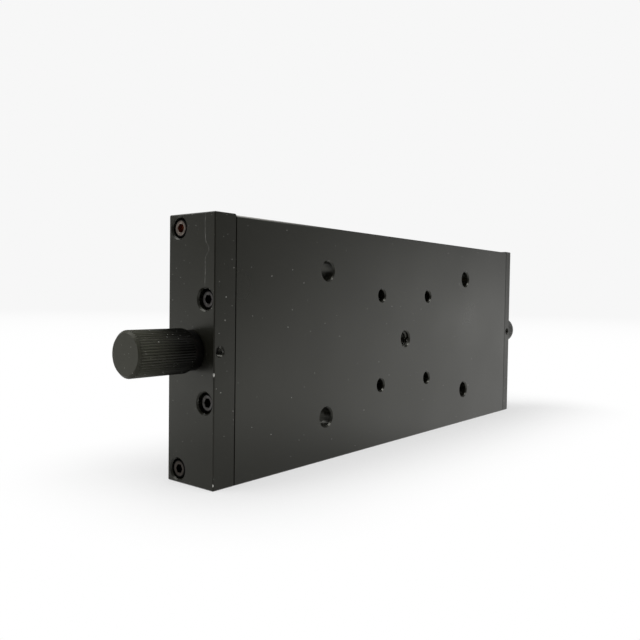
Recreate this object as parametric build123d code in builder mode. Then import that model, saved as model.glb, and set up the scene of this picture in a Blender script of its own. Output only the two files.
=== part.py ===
from build123d import *
import math
import os

# Hand-driven linear stage: a dovetail table on a channel-shaped base, moved by a lead screw.
# X runs along the travel, with the drive knob at -X. Y runs from the mounting face to the table.
# Z runs across the base. The origin is the centre of the mounting hole pattern. Millimetres.

os.makedirs("parts", exist_ok=True)

# Clearances
slide_gap = 0.05
seat_gap = 0.01
running_gap = 0.05
adjust_gap = 0.25
end_gap = 0.5
nut_gap = 0.5
tongue_gap = 0.35

# Base channel
base_length = 186.0
base_width = 79.6
base_height = 19.5
web_thickness = 8.0
side_wall = 8.5
lip_root_height = 12.0
dovetail_angle = 60.0
edge_break = 0.3

# Holes in the mounting face
large_spacing_x = 100.0
large_spacing_z = 50.0
large_hole_radius = 3.2
large_bore_radius = 5.5
small_spacing = 34.0
small_hole_radius = 2.25
small_bore_radius = 4.0
bore_depth = 4.4
centre_hole_radius = 3.0
hole_mouth = 0.5
tap_mouth = 0.25

# End plates
plate_rise = 0.8
plate_overhang = 0.4
knob_plate_thickness = 8.5
tail_plate_thickness = 5.5
plate_break = 0.3
plate_seam = 0.4

# Lead screw
screw_height = 10.0
screw_radius = 4.0
journal_radius = 3.0
neck_step = 0.6
neck_clearance = 0.7
thread_relief = 0.5

# Ball bearings in the end plates
bearing_radius = 5.0
bearing_width = 3.0
bearing_recess = 0.9
inner_ring_wall = 0.64
outer_ring_wall = 0.65
ball_radius = 0.6
ball_count = 7
race_gap = 0.04
cage_wall = 0.4
cage_width = 1.7
shield_thickness = 0.2
shield_inset = 0.15
shield_gap = 0.1
tail_float = 0.3

# Knobs and collar
knob_radius = 6.6
knob_standoff = 3.5
drive_knob_length = 19.2
tail_knob_length = 10.5
knob_chamfer = 0.8
knob_front_wall = 3.0
knurl_count = 52
knurl_depth = 0.28
knurl_half_width = 0.3
hub_radius = 4.5
collar_radius = 6.0
collar_gap = 0.3
collar_nose_wall = 0.5

# Socket set screws
set_screw_radius = 1.5
set_screw_socket = 1.5
set_screw_socket_depth = 1.2
bearing_set_screw_length = 2.5
knob_set_screw_length = 3.0
knob_set_screw_offset = 5.0
collar_set_screw_radius = 1.0
collar_set_screw_socket = 0.9
collar_set_screw_socket_depth = 0.8
collar_set_screw_length = 2.6

# Socket cap screws
cap_shank_radius = 1.5
cap_clear_radius = 1.7
cap_head_radius = 2.75
cap_head_height = 3.0
cap_bore_radius = 3.1
cap_bore_mouth = 0.45
cap_socket = 2.5
cap_socket_depth = 1.4
tap_run_out = 1.5

# End plate screws, in a pair near the table side and a pair near the mounting face
corner_screw_drop = 4.55
corner_screw_inset = 4.0
inner_screw_height = 4.0
inner_screw_half = 15.0
corner_screw_recess = 0.3
inner_screw_recess = 0.9
knob_plate_screw_length = 12.0
tail_plate_screw_length = 10.0

# Table
table_thickness = 8.45
table_length = 80.0
table_side_inset = 0.3
table_corner_round = 1.0
table_edge_break = 0.4
table_small_spacing = 34.0
table_small_radius = 2.0
table_small_depth = 9.0
table_large_spacing = 50.0
table_large_radius = 3.0
table_large_depth = 7.0
table_screw_recess = 0.4

# Gib bar and nut
gib_width = 6.8
gib_screw_end = 5.0
gib_screw_inset = 3.75
gib_screw_length = 12.0
nut_length = 24.0
nut_width = 20.0
nut_above_screw = 5.5
nut_below_screw = 4.5
nut_chamfer = 0.5
nut_screw_spacing_x = 14.0
nut_screw_spacing_z = 13.6
nut_screw_length = 16.0

# Places that follow from the sizes above
plate_width = base_width + plate_overhang
plate_height = base_height + plate_rise
base_low = -plate_width / 2
base_middle = base_low + base_width / 2
channel_half = plate_width / 2 - side_wall
nut_bottom = screw_height - nut_below_screw
nut_seat_height = screw_height + nut_above_screw
nut_slot_half = nut_width / 2 + nut_gap
relief_floor = nut_bottom - nut_gap
relief_half = nut_width / 2 + 2 * nut_gap
knob_seam = -base_length / 2
tail_seam = base_length / 2
knob_face = knob_seam - knob_plate_thickness
tail_face = tail_seam + tail_plate_thickness
table_underside = base_height + slide_gap
stage_height = table_underside + table_thickness
table_width = base_width - 2 * table_side_inset
tongue_bottom = lip_root_height + tongue_gap
flank_slope = math.tan(math.radians(dovetail_angle))
flank_gap = slide_gap / math.sin(math.radians(dovetail_angle))
knob_bearing_x = knob_face + bearing_recess + bearing_width / 2
tail_bearing_x = tail_face - bearing_recess - bearing_width / 2
inner_ring_bore = journal_radius + seat_gap
inner_ring_radius = inner_ring_bore + inner_ring_wall
outer_ring_bore = bearing_radius - outer_ring_wall
pitch_radius = (inner_ring_radius + outer_ring_bore) / 2
neck_radius = journal_radius + neck_step
knob_back = knob_face - knob_standoff
tail_back = tail_face + knob_standoff
knob_bore_depth = drive_knob_length - knob_front_wall
tail_bore_depth = tail_knob_length - knob_front_wall
knob_bore_radius = journal_radius + seat_gap
collar_nose_radius = knob_bore_radius + collar_nose_wall
tap_radius = cap_shank_radius + seat_gap
set_tap_radius = set_screw_radius + seat_gap
cap_seat_depth = cap_head_height + table_screw_recess
gib_screw_step = table_length / 2 - gib_screw_end

# Places of the end plates' screws, across the base and up from the mounting face
corner_screw_height = plate_height - corner_screw_drop
corner_screw_half = plate_width / 2 - corner_screw_inset
corner_places = [(side * corner_screw_half, corner_screw_height) for side in (-1, 1)]
inner_places = [(side * inner_screw_half, inner_screw_height) for side in (-1, 1)]
screw_pairs = ((corner_places, corner_screw_recess), (inner_places, inner_screw_recess))

axis_plane = Plane.XZ.offset(-screw_height)
screw_axis = Axis((0, screw_height, 0), (1, 0, 0))
table_plane = Plane.ZX.offset(stage_height)


def end_view(x, outward):
    """Plane on an end face at x: its X runs across the base and its Y up from the mounting face."""
    return Plane(origin=(x, 0, 0), x_dir=(0, 0, -outward), z_dir=(outward, 0, 0))


def across_screw(x):
    """Plane square to the lead screw at x, with its origin on the screw's axis."""
    return Plane(origin=(x, screw_height, 0), x_dir=(0, 1, 0), z_dir=(1, 0, 0))


def flank_half(height, gap):
    """Half width between the dovetail flanks at a height, less a gap at each flank."""
    return channel_half - (height - lip_root_height) / flank_slope - gap


def save(piece, name):
    """Label a finished piece and write its file."""
    piece.part.label = name
    export_step(piece.part, f"parts/{name}.step")


# Base channel: a milled bar whose side walls lean over the channel as a female dovetail.
lip_half = flank_half(base_height, 0)
with BuildPart() as base_channel:
    with BuildSketch(Plane.YZ.offset(knob_seam)) as base_section:
        with Locations((base_height / 2, base_middle)):
            Rectangle(base_height, base_width)
        chamfer(base_section.vertices(), length=edge_break)
        with BuildLine():
            Polyline(
                (relief_floor, -relief_half),
                (web_thickness, -relief_half),
                (web_thickness, -channel_half),
                (lip_root_height, -channel_half),
                (base_height, -lip_half),
                (base_height, lip_half),
                (lip_root_height, channel_half),
                (web_thickness, channel_half),
                (web_thickness, relief_half),
                (relief_floor, relief_half),
                close=True,
            )
        make_face(mode=Mode.SUBTRACT)
    extrude(amount=base_length)

    # Mounting holes, sunk from the channel side. The large bores cut round notches in the lips,
    # so that a screw head can pass them.
    with Locations(Plane.XZ):
        with GridLocations(large_spacing_x, large_spacing_z, 2, 2):
            CounterSinkHole(large_hole_radius, large_hole_radius + hole_mouth, web_thickness, 90)
        with GridLocations(small_spacing, small_spacing, 2, 2):
            CounterSinkHole(small_hole_radius, small_hole_radius + hole_mouth, web_thickness, 90)
        CounterSinkHole(centre_hole_radius, centre_hole_radius + hole_mouth, relief_floor, 90)
    with Locations(Plane.ZX.offset(base_height)):
        with GridLocations(large_spacing_z, large_spacing_x, 2, 2):
            Hole(large_bore_radius, base_height - web_thickness + bore_depth)
    with Locations(Plane.ZX.offset(web_thickness)):
        with GridLocations(small_spacing, small_spacing, 2, 2):
            Hole(small_bore_radius, bore_depth)

    # Tapped holes for the end plates' screws.
    for seam, outward, reach in (
        (knob_seam, -1, knob_plate_screw_length - knob_plate_thickness),
        (tail_seam, 1, tail_plate_screw_length - tail_plate_thickness),
    ):
        with Locations(end_view(seam, outward)):
            for places, recess in screw_pairs:
                with Locations(*places):
                    Hole(tap_radius, reach + cap_head_height + recess + tap_run_out)
save(base_channel, "base_channel")


def end_plate(outer_x, thickness, outward, name):
    """End plate: sunk screw holes, a bearing seat open to the outside, and its set screw's hole."""
    outer_view = end_view(outer_x, outward)
    outward_axis = Axis((0, 0, 0), (outward, 0, 0))
    with BuildPart() as plate:
        with BuildSketch(outer_view):
            with Locations((0, plate_height / 2)):
                Rectangle(plate_width, plate_height)
        extrude(amount=-thickness)
        outer_edges = plate.faces().sort_by(outward_axis)[-1].edges()
        chamfer(plate.edges().filter_by(Axis.X) + outer_edges, plate_break)
        chamfer(plate.faces().sort_by(outward_axis)[0].edges(), plate_seam)
        with Locations(outer_view):
            for places, recess in screw_pairs:
                with Locations(*places):
                    CounterBoreHole(cap_clear_radius, cap_bore_radius, cap_head_height + recess, thickness)
                    CounterSinkHole(cap_bore_radius, cap_bore_radius + cap_bore_mouth, cap_bore_mouth, 90)
            with Locations((0, screw_height)):
                Hole(bearing_radius + seat_gap, bearing_recess + bearing_width)
                Hole(neck_radius + neck_clearance, thickness)
        set_screw_x = outer_x - outward * (bearing_recess + bearing_width / 2)
        with Locations(Plane.XZ):
            with Locations((set_screw_x, 0)):
                CounterSinkHole(set_tap_radius, set_tap_radius + tap_mouth, screw_height, 90)
    save(plate, name)


end_plate(knob_face, knob_plate_thickness, -1, "knob_end_plate")
end_plate(tail_face, tail_plate_thickness, 1, "tail_end_plate")


def cap_screw(length):
    """Socket cap screw along Z, head up, with the underside of its head at the origin."""
    with BuildPart() as screw:
        Cylinder(cap_head_radius, cap_head_height, align=(Align.CENTER, Align.CENTER, Align.MIN))
        Cylinder(cap_shank_radius, length, align=(Align.CENTER, Align.CENTER, Align.MAX))
        with BuildSketch(Plane.XY.offset(cap_head_height)):
            RegularPolygon(cap_socket / 2, 6, major_radius=False)
        extrude(amount=-cap_socket_depth, mode=Mode.SUBTRACT)
    return screw.part


def set_screw(radius, length, socket, socket_depth):
    """Socket set screw along Z, with its socket end at the origin and its point below."""
    with BuildPart() as screw:
        Cylinder(radius, length, align=(Align.CENTER, Align.CENTER, Align.MAX))
        with BuildSketch():
            RegularPolygon(socket / 2, 6, major_radius=False)
        extrude(amount=-socket_depth, mode=Mode.SUBTRACT)
    return screw.part


# Screws of the end plates, seated on the floors of their counterbores.
for name, outer_x, outward, length in (
    ("knob_end_plate_screws", knob_face, -1, knob_plate_screw_length),
    ("tail_end_plate_screws", tail_face, 1, tail_plate_screw_length),
):
    plate_screw = cap_screw(length)
    with BuildPart() as plate_screws:
        for places, recess in screw_pairs:
            with Locations(end_view(outer_x, outward).offset(-cap_head_height - recess)):
                with Locations(*places):
                    add(plate_screw)
    save(plate_screws, name)


# Set screws in the end plates, which press on the bearings' outer rings.
bearing_screw_top = screw_height - bearing_radius - seat_gap - bearing_set_screw_length
pressing_screw = set_screw(
    set_screw_radius, bearing_set_screw_length, set_screw_socket, set_screw_socket_depth
)
for name, bearing_x in (
    ("knob_end_bearing_set_screw", knob_bearing_x),
    ("tail_end_bearing_set_screw", tail_bearing_x),
):
    with BuildPart() as bearing_screw:
        with Locations(Plane.XZ.offset(-bearing_screw_top)):
            with Locations((bearing_x, 0)):
                add(pressing_screw)
    save(bearing_screw, name)


def ball_bearing(centre_x, name):
    """Shielded ball bearing on the lead screw's axis: two rings, balls, cage and shields.

    The races have three flats each in place of a round groove.
    """
    with BuildPart() as outer_ring:
        with BuildSketch(axis_plane):
            with Locations((centre_x, outer_ring_bore + outer_ring_wall / 2)):
                Rectangle(bearing_width, outer_ring_wall)
            with Locations((centre_x, pitch_radius)):
                RegularPolygon(
                    ball_radius + race_gap, 8, major_radius=False, rotation=22.5, mode=Mode.SUBTRACT
                )
        revolve(axis=screw_axis)
    save(outer_ring, f"{name}_outer_ring")

    with BuildPart() as inner_ring:
        with BuildSketch(axis_plane):
            with Locations((centre_x, inner_ring_bore + inner_ring_wall / 2)):
                Rectangle(bearing_width, inner_ring_wall)
            with Locations((centre_x, pitch_radius)):
                RegularPolygon(
                    ball_radius + race_gap, 8, major_radius=False, rotation=22.5, mode=Mode.SUBTRACT
                )
        revolve(axis=screw_axis)
    save(inner_ring, f"{name}_inner_ring")

    with BuildPart() as balls:
        with Locations(across_screw(centre_x)):
            with PolarLocations(pitch_radius, ball_count):
                Sphere(ball_radius)
    save(balls, f"{name}_balls")

    cage_pocket = 2 * (ball_radius + race_gap)
    with BuildPart() as cage:
        with BuildSketch(across_screw(centre_x)):
            Circle(pitch_radius + cage_wall / 2)
            Circle(pitch_radius - cage_wall / 2, mode=Mode.SUBTRACT)
        extrude(amount=cage_width / 2, both=True)
        with Locations(across_screw(centre_x)):
            with PolarLocations(pitch_radius, ball_count):
                Box(2 * ball_radius, cage_pocket, cage_pocket, mode=Mode.SUBTRACT)
    save(cage, f"{name}_cage")

    with BuildPart() as shields:
        for side in (-1, 1):
            with BuildSketch(across_screw(centre_x + side * (bearing_width / 2 - shield_inset))):
                Circle(outer_ring_bore - seat_gap)
                Circle(inner_ring_radius + shield_gap, mode=Mode.SUBTRACT)
            extrude(amount=-side * shield_thickness)
    save(shields, f"{name}_shields")


ball_bearing(knob_bearing_x, "knob_end_bearing")
ball_bearing(tail_bearing_x, "tail_end_bearing")


# Lead screw: journals for the bearings and knobs, a neck through each plate, and the thread
# between them, drawn at its outer diameter.
journal_start = knob_back - knob_bore_depth + end_gap
journal_end = tail_back + tail_bore_depth - end_gap
knob_shoulder = knob_bearing_x + bearing_width / 2
tail_shoulder = tail_bearing_x - bearing_width / 2 - tail_float
with BuildPart() as lead_screw:
    with BuildSketch(axis_plane):
        with BuildLine():
            Polyline(
                (journal_start, 0),
                (journal_start, journal_radius),
                (knob_shoulder, journal_radius),
                (knob_shoulder, neck_radius),
                (knob_seam + thread_relief, neck_radius),
                (knob_seam + thread_relief, screw_radius),
                (tail_seam - thread_relief, screw_radius),
                (tail_seam - thread_relief, neck_radius),
                (tail_shoulder, neck_radius),
                (tail_shoulder, journal_radius),
                (journal_end, journal_radius),
                (journal_end, 0),
                close=True,
            )
        make_face()
    revolve(axis=screw_axis)
    chamfer(lead_screw.edges().filter_by(GeomType.CIRCLE).group_by(Axis.X)[0], edge_break)
    chamfer(lead_screw.edges().filter_by(GeomType.CIRCLE).group_by(Axis.X)[-1], edge_break)
save(lead_screw, "lead_screw")


# Thrust collar: its nose bears on the inner ring, and its disc covers the bearing.
collar_front = knob_back + collar_gap
collar_back = knob_face - collar_gap
collar_screw_x = (collar_front + collar_back) / 2
with BuildPart() as thrust_collar:
    with BuildSketch(axis_plane):
        with BuildLine():
            Polyline(
                (collar_front, knob_bore_radius),
                (collar_front, collar_radius),
                (collar_back, collar_radius),
                (collar_back, collar_nose_radius),
                (knob_bearing_x - bearing_width / 2, collar_nose_radius),
                (knob_bearing_x - bearing_width / 2, knob_bore_radius),
                close=True,
            )
        make_face()
    revolve(axis=screw_axis)
    with Locations(Plane.ZX.offset(screw_height + collar_radius)):
        with Locations((0, collar_screw_x)):
            Hole(collar_set_screw_radius + seat_gap, collar_radius)
save(thrust_collar, "thrust_collar")


def knurled_knob(back, outward, length, bore_depth, hub_length, name):
    """Round knob bored from the back, with a chamfered front and straight grooves around it."""
    front = back + outward * length
    with BuildPart() as knob:
        with BuildSketch(axis_plane):
            with BuildLine():
                Polyline(
                    (front, 0),
                    (front, knob_radius - knob_chamfer),
                    (front - outward * knob_chamfer, knob_radius),
                    (back, knob_radius),
                    (back, 0),
                    close=True,
                )
            make_face()
        revolve(axis=screw_axis)
        with BuildSketch(across_screw(back)):
            with PolarLocations(knob_radius, knurl_count):
                Polygon(
                    (-knurl_depth, 0),
                    (knurl_depth, -2 * knurl_half_width),
                    (knurl_depth, 2 * knurl_half_width),
                    align=None,
                )
        extrude(amount=outward * length, mode=Mode.SUBTRACT)
        if hub_length > 0:
            with BuildSketch(across_screw(back - outward * hub_length)):
                Circle(hub_radius)
            extrude(amount=outward * hub_length)
        with BuildSketch(across_screw(back - outward * hub_length)):
            Circle(knob_bore_radius)
        extrude(amount=outward * (hub_length + bore_depth), mode=Mode.SUBTRACT)
        with Locations(Plane.ZX.offset(screw_height + knob_radius)):
            with Locations((0, back + outward * knob_set_screw_offset)):
                Hole(set_tap_radius, knob_radius)
    save(knob, name)


knurled_knob(knob_back, -1, drive_knob_length, knob_bore_depth, 0, "drive_knob")
knurled_knob(tail_back, 1, tail_knob_length, tail_bore_depth, knob_standoff - collar_gap, "tail_knob")


# Set screws of the collar and the knobs, which press on the journals.
def radial_screw(x, radius, length, socket, socket_depth, name):
    """Set screw that points at the lead screw's axis from the table side."""
    upright_screw = set_screw(radius, length, socket, socket_depth)
    with BuildPart() as screw:
        with Locations(Plane.ZX.offset(screw_height + journal_radius + seat_gap + length)):
            with Locations((0, x)):
                add(upright_screw)
    save(screw, name)


radial_screw(
    collar_screw_x,
    collar_set_screw_radius,
    collar_set_screw_length,
    collar_set_screw_socket,
    collar_set_screw_socket_depth,
    "thrust_collar_set_screw",
)
for name, screw_x in (
    ("drive_knob_set_screw", knob_back - knob_set_screw_offset),
    ("tail_knob_set_screw", tail_back + knob_set_screw_offset),
):
    radial_screw(
        screw_x, set_screw_radius, knob_set_screw_length, set_screw_socket, set_screw_socket_depth, name
    )


# Table: a flat plate over the base's walls, with the fixed flank of the dovetail tongue below it.
tongue_foot = -flank_half(tongue_bottom, flank_gap)
tongue_neck = -flank_half(table_underside, flank_gap)
gib_back = -tongue_neck - gib_width
gib_screw_place = gib_back + gib_screw_inset
tongue_step = gib_back - adjust_gap
with BuildPart() as carriage_table:
    with BuildSketch(Plane.YZ.offset(-table_length / 2)):
        with BuildLine():
            Polyline(
                (stage_height, -table_width / 2),
                (stage_height, table_width / 2),
                (table_underside, table_width / 2),
                (table_underside, tongue_step),
                (tongue_bottom, tongue_step),
                (tongue_bottom, nut_slot_half),
                (nut_seat_height, nut_slot_half),
                (nut_seat_height, -nut_slot_half),
                (tongue_bottom, -nut_slot_half),
                (tongue_bottom, tongue_foot),
                (table_underside, tongue_neck),
                (table_underside, -table_width / 2),
                close=True,
            )
        make_face()
    extrude(amount=table_length)
    upright_edges = carriage_table.edges().filter_by(Axis.Y).group_by(Axis.Z)
    fillet(upright_edges[0] + upright_edges[-1], table_corner_round)
    chamfer(carriage_table.faces().sort_by(Axis.Y)[-1].edges(), table_edge_break)

    # Tapped holes for what is mounted on the table, and sunk holes for the nut's and gib's screws.
    with Locations(table_plane):
        with GridLocations(table_small_spacing, table_small_spacing, 2, 2):
            CounterSinkHole(table_small_radius, table_small_radius + tap_mouth, table_small_depth, 90)
        with GridLocations(table_large_spacing, table_large_spacing, 2, 2):
            CounterSinkHole(table_large_radius, table_large_radius + tap_mouth, table_large_depth, 90)
        with GridLocations(nut_screw_spacing_z, nut_screw_spacing_x, 2, 2):
            CounterBoreHole(
                cap_clear_radius, cap_bore_radius, cap_seat_depth, stage_height - nut_seat_height
            )
        with Locations((gib_screw_place, 0)):
            with GridLocations(0, gib_screw_step, 1, 3):
                CounterBoreHole(
                    cap_clear_radius, cap_bore_radius, cap_seat_depth, stage_height - table_underside
                )
save(carriage_table, "carriage_table")


# Gib bar: the tongue's other flank, a loose bar that is pushed out against the base and clamped.
with BuildPart() as gib_bar:
    with BuildSketch(Plane.YZ.offset(-table_length / 2)):
        with BuildLine():
            Polyline(
                (table_underside, gib_back),
                (table_underside, -tongue_neck),
                (tongue_bottom, -tongue_foot),
                (tongue_bottom, gib_back),
                close=True,
            )
        make_face()
    extrude(amount=table_length)
    with Locations(Plane.ZX.offset(table_underside)):
        with Locations((gib_screw_place, 0)):
            with GridLocations(0, gib_screw_step, 1, 3):
                Hole(tap_radius, table_underside - tongue_bottom)
save(gib_bar, "gib_bar")


# Drive nut: a bronze block in the tongue's slot, bored for the lead screw.
with BuildPart() as drive_nut:
    with BuildSketch(Plane.YZ.offset(-nut_length / 2)) as nut_section:
        with Locations(((nut_bottom + nut_seat_height) / 2, 0)):
            Rectangle(nut_seat_height - nut_bottom, nut_width)
        chamfer(nut_section.vertices(), length=nut_chamfer)
        with Locations((screw_height, 0)):
            Circle(screw_radius + running_gap, mode=Mode.SUBTRACT)
    extrude(amount=nut_length)
    nut_screw_reach = nut_screw_length - (stage_height - cap_seat_depth - nut_seat_height)
    with Locations(Plane.ZX.offset(nut_seat_height)):
        with GridLocations(nut_screw_spacing_z, nut_screw_spacing_x, 2, 2):
            Hole(tap_radius, nut_screw_reach + end_gap)
save(drive_nut, "drive_nut")


# Screws through the table into the nut and the gib bar.
screw_seat = Plane.ZX.offset(stage_height - cap_seat_depth)
nut_screw = cap_screw(nut_screw_length)
with BuildPart() as drive_nut_screws:
    with Locations(screw_seat):
        with GridLocations(nut_screw_spacing_z, nut_screw_spacing_x, 2, 2):
            add(nut_screw)
save(drive_nut_screws, "drive_nut_screws")

gib_screw = cap_screw(gib_screw_length)
with BuildPart() as gib_bar_screws:
    with Locations(screw_seat):
        with Locations((gib_screw_place, 0)):
            with GridLocations(0, gib_screw_step, 1, 3):
                add(gib_screw)
save(gib_bar_screws, "gib_bar_screws")
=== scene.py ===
import math
import bmesh
import bpy
from mathutils import Matrix, Quaternion, Vector


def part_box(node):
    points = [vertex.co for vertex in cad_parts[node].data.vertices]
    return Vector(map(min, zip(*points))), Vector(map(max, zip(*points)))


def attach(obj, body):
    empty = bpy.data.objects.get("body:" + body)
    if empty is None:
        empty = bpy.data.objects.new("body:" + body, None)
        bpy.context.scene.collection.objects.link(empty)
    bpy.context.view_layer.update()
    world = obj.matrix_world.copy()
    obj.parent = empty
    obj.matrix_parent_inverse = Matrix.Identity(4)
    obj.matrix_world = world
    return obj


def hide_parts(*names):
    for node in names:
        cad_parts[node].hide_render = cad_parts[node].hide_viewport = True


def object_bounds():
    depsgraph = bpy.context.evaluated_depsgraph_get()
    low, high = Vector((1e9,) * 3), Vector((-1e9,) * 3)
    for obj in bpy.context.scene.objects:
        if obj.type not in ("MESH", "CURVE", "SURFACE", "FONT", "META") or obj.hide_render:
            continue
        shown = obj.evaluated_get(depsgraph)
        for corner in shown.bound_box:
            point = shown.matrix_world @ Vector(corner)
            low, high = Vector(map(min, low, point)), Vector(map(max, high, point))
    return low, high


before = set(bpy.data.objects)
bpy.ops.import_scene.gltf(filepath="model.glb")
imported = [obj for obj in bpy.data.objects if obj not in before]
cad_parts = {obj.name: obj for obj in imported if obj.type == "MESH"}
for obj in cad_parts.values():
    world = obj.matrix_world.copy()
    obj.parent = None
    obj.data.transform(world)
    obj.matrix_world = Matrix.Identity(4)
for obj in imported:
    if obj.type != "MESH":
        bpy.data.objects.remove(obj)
cad_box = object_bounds()


# Base channel: a long bar of aluminium, milled to a channel with a dovetail, then black anodised.
# The dye leaves a dull, faintly olive black with cloudy patches, and dust sits in its pores. Knocks
# leave small bright nicks on its edges. Its upper front edge has a pale painted highlight near the knob.
mm = 0.001


def linear(hex_colour):
    """sRGB hex colour as the linear colour that Blender's sockets take."""
    channels = []
    for place in (1, 3, 5):
        value = int(hex_colour[place:place + 2], 16) / 255
        channels.append(value / 12.92 if value <= 0.04045 else ((value + 0.055) / 1.055) ** 2.4)
    return (*channels, 1.0)


def add_node(tree, kind, settings, inputs):
    """Adds a node with its settings, and sets each input to a value or links it to a socket."""
    node = tree.nodes.new(kind)
    for name, value in settings.items():
        setattr(node, name, value)
    for name, value in inputs.items():
        if isinstance(value, bpy.types.NodeSocket):
            tree.links.new(value, node.inputs[name])
        else:
            node.inputs[name].default_value = value
    return node


def new_material(name):
    """Empty node material with an output, and the tree that its nodes go in."""
    material = bpy.data.materials.new(name)
    material.use_nodes = True
    tree = material.node_tree
    tree.nodes.clear()
    tree.nodes.new("ShaderNodeOutputMaterial")
    return material, tree


def wear(node_name, material):
    """Gives a CAD node its material."""
    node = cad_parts[node_name]
    node.data.materials.clear()
    node.data.materials.append(material)


def dust_specks(tree, place, spacing, radius):
    """Share of pale dust at each point: scattered specks, up to a radius, from faint to bright."""
    smallest_share = 0.35
    faint_power = 0.8
    cells = add_node(
        tree, "ShaderNodeTexVoronoi", {"feature": "F1"},
        {"Vector": place, "Scale": 1 / spacing, "Randomness": 1.0},
    )
    draw = add_node(tree, "ShaderNodeSeparateColor", {}, {"Color": cells.outputs["Color"]})
    reach = add_node(
        tree, "ShaderNodeMapRange", {},
        {
            "Value": draw.outputs["Green"],
            "To Min": smallest_share * radius / spacing, "To Max": radius / spacing,
        },
    )
    speck = add_node(
        tree, "ShaderNodeMath", {"operation": "LESS_THAN"},
        {0: cells.outputs["Distance"], 1: reach.outputs["Result"]},
    )
    weight = add_node(
        tree, "ShaderNodeMath", {"operation": "POWER"}, {0: draw.outputs["Red"], 1: faint_power}
    )
    dust = add_node(
        tree, "ShaderNodeMath", {"operation": "MULTIPLY"},
        {0: speck.outputs["Value"], 1: weight.outputs["Value"]},
    )
    return dust.outputs["Value"]


def edge_nicks_and_glints(tree, place, knocks_and_glints):
    """Share of bare metal at each point: small nicks along sharp edges, more of them when knocked.
    On thread crests they also stand in as painted highlights.
    """
    nick_size = 1.3 * mm
    edge_reach = 0.22 * mm
    least_knock = 0.72 - knocks_and_glints
    full_knock = 0.77 - knocks_and_glints
    most_bare = 0.8
    # Cosines between a face's own normal and the one that the Bevel node rounds near an edge.
    edge_starts = 0.97
    edge_full = 0.88
    rounded = add_node(tree, "ShaderNodeBevel", {"samples": 4}, {"Radius": edge_reach})
    flat = add_node(tree, "ShaderNodeNewGeometry", {}, {})
    alike = add_node(
        tree, "ShaderNodeVectorMath", {"operation": "DOT_PRODUCT"},
        {0: rounded.outputs["Normal"], 1: flat.outputs["Normal"]},
    )
    edge = add_node(
        tree, "ShaderNodeMapRange", {},
        {"Value": alike.outputs["Value"], "From Min": edge_starts, "From Max": edge_full},
    )
    knocks = add_node(
        tree, "ShaderNodeTexNoise", {},
        {"Vector": place, "Scale": 1 / nick_size, "Detail": 2.0, "Roughness": 0.6},
    )
    knock = add_node(
        tree, "ShaderNodeMapRange", {},
        {
            "Value": knocks.outputs["Fac"],
            "From Min": least_knock, "From Max": full_knock,
            "To Max": most_bare,
        },
    )
    nick = add_node(
        tree, "ShaderNodeMath", {"operation": "MULTIPLY"},
        {0: edge.outputs["Result"], 1: knock.outputs["Result"]},
    )
    return nick.outputs["Value"]


def anodised_aluminium(
    name, deep, cloudy, roughness, cloud_size, dust_spacing, knocks_and_glints, scratch=None, painted_shade=None, shine=0.5
):
    """Milled aluminium in a dyed oxide layer: cloudy black, fine pores, pale dust, nicked edges that also
    stand in as painted highlights on thread crests. A scratch adds pale marks, bare metal on the knob plate
    and a painted highlight on the base, and a painted shade gives the shares of the two dyes in place of
    the clouds."""
    dust_radius = 0.13 * mm
    gloss_spread = 0.08
    # Real pores are far finer than these, which are as coarse as they need to be to show.
    pore_size = 0.35 * mm
    pore_depth = 0.02 * mm
    material, tree = new_material(name)
    place = add_node(tree, "ShaderNodeTexCoord", {}, {}).outputs["Object"]
    clouds = add_node(
        tree, "ShaderNodeTexNoise", {},
        {"Vector": place, "Scale": 1 / cloud_size, "Detail": 1.5, "Roughness": 0.5},
    )
    cloud_share = add_node(
        tree, "ShaderNodeMapRange", {"interpolation_type": "SMOOTHERSTEP"},
        {"Value": clouds.outputs["Fac"], "From Min": 0.25, "From Max": 0.75},
    )
    # With a painted shade, the mix of the two dyes follows painted shade by place instead of the clouds.
    dyed = add_node(
        tree, "ShaderNodeMix", {"data_type": "RGBA"},
        {
            "Factor": painted_shade(tree, place) if painted_shade else cloud_share.outputs["Result"],
            "A": linear(deep), "B": linear(cloudy),
        },
    )
    pale_marks_and_highlights = add_node(
        tree, "ShaderNodeMath", {"operation": "MAXIMUM"},
        {
            0: dust_specks(tree, place, dust_spacing, dust_radius),
            1: edge_nicks_and_glints(tree, place, knocks_and_glints),
        },
    )
    # A scratch gives pale marks: a real scratch and nicks on the knob plate, a painted highlight on the
    # base.
    if scratch:
        pale_marks_and_highlights = add_node(
            tree, "ShaderNodeMath", {"operation": "MAXIMUM"},
            {0: pale_marks_and_highlights.outputs["Value"], 1: scratch(tree, place)},
        )
    marked = add_node(
        tree, "ShaderNodeMix", {"data_type": "RGBA"},
        {"Factor": pale_marks_and_highlights.outputs["Value"], "A": dyed.outputs["Result"], "B": linear("#d6d5d0")},
    )
    gloss = add_node(
        tree, "ShaderNodeMapRange", {},
        {
            "Value": clouds.outputs["Fac"],
            "To Min": roughness + gloss_spread, "To Max": roughness - gloss_spread,
        },
    )
    pores = add_node(
        tree, "ShaderNodeTexNoise", {},
        {"Vector": place, "Scale": 1 / pore_size, "Detail": 2.0, "Roughness": 0.6},
    )
    grain = add_node(
        tree, "ShaderNodeBump", {},
        {"Strength": 0.12, "Distance": pore_depth, "Height": pores.outputs["Fac"]},
    )
    surface = add_node(
        tree, "ShaderNodeBsdfPrincipled", {},
        {
            "Base Color": marked.outputs["Result"],
            "Roughness": gloss.outputs["Result"],
            "Metallic": 0.0,
            "IOR": 1.5,
            "Specular IOR Level": shine,
            "Specular Tint": linear("#fffff4"),
            "Normal": grain.outputs["Normal"],
        },
    )
    tree.links.new(surface.outputs["BSDF"], tree.nodes["Material Output"].inputs["Surface"])
    return material


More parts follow.
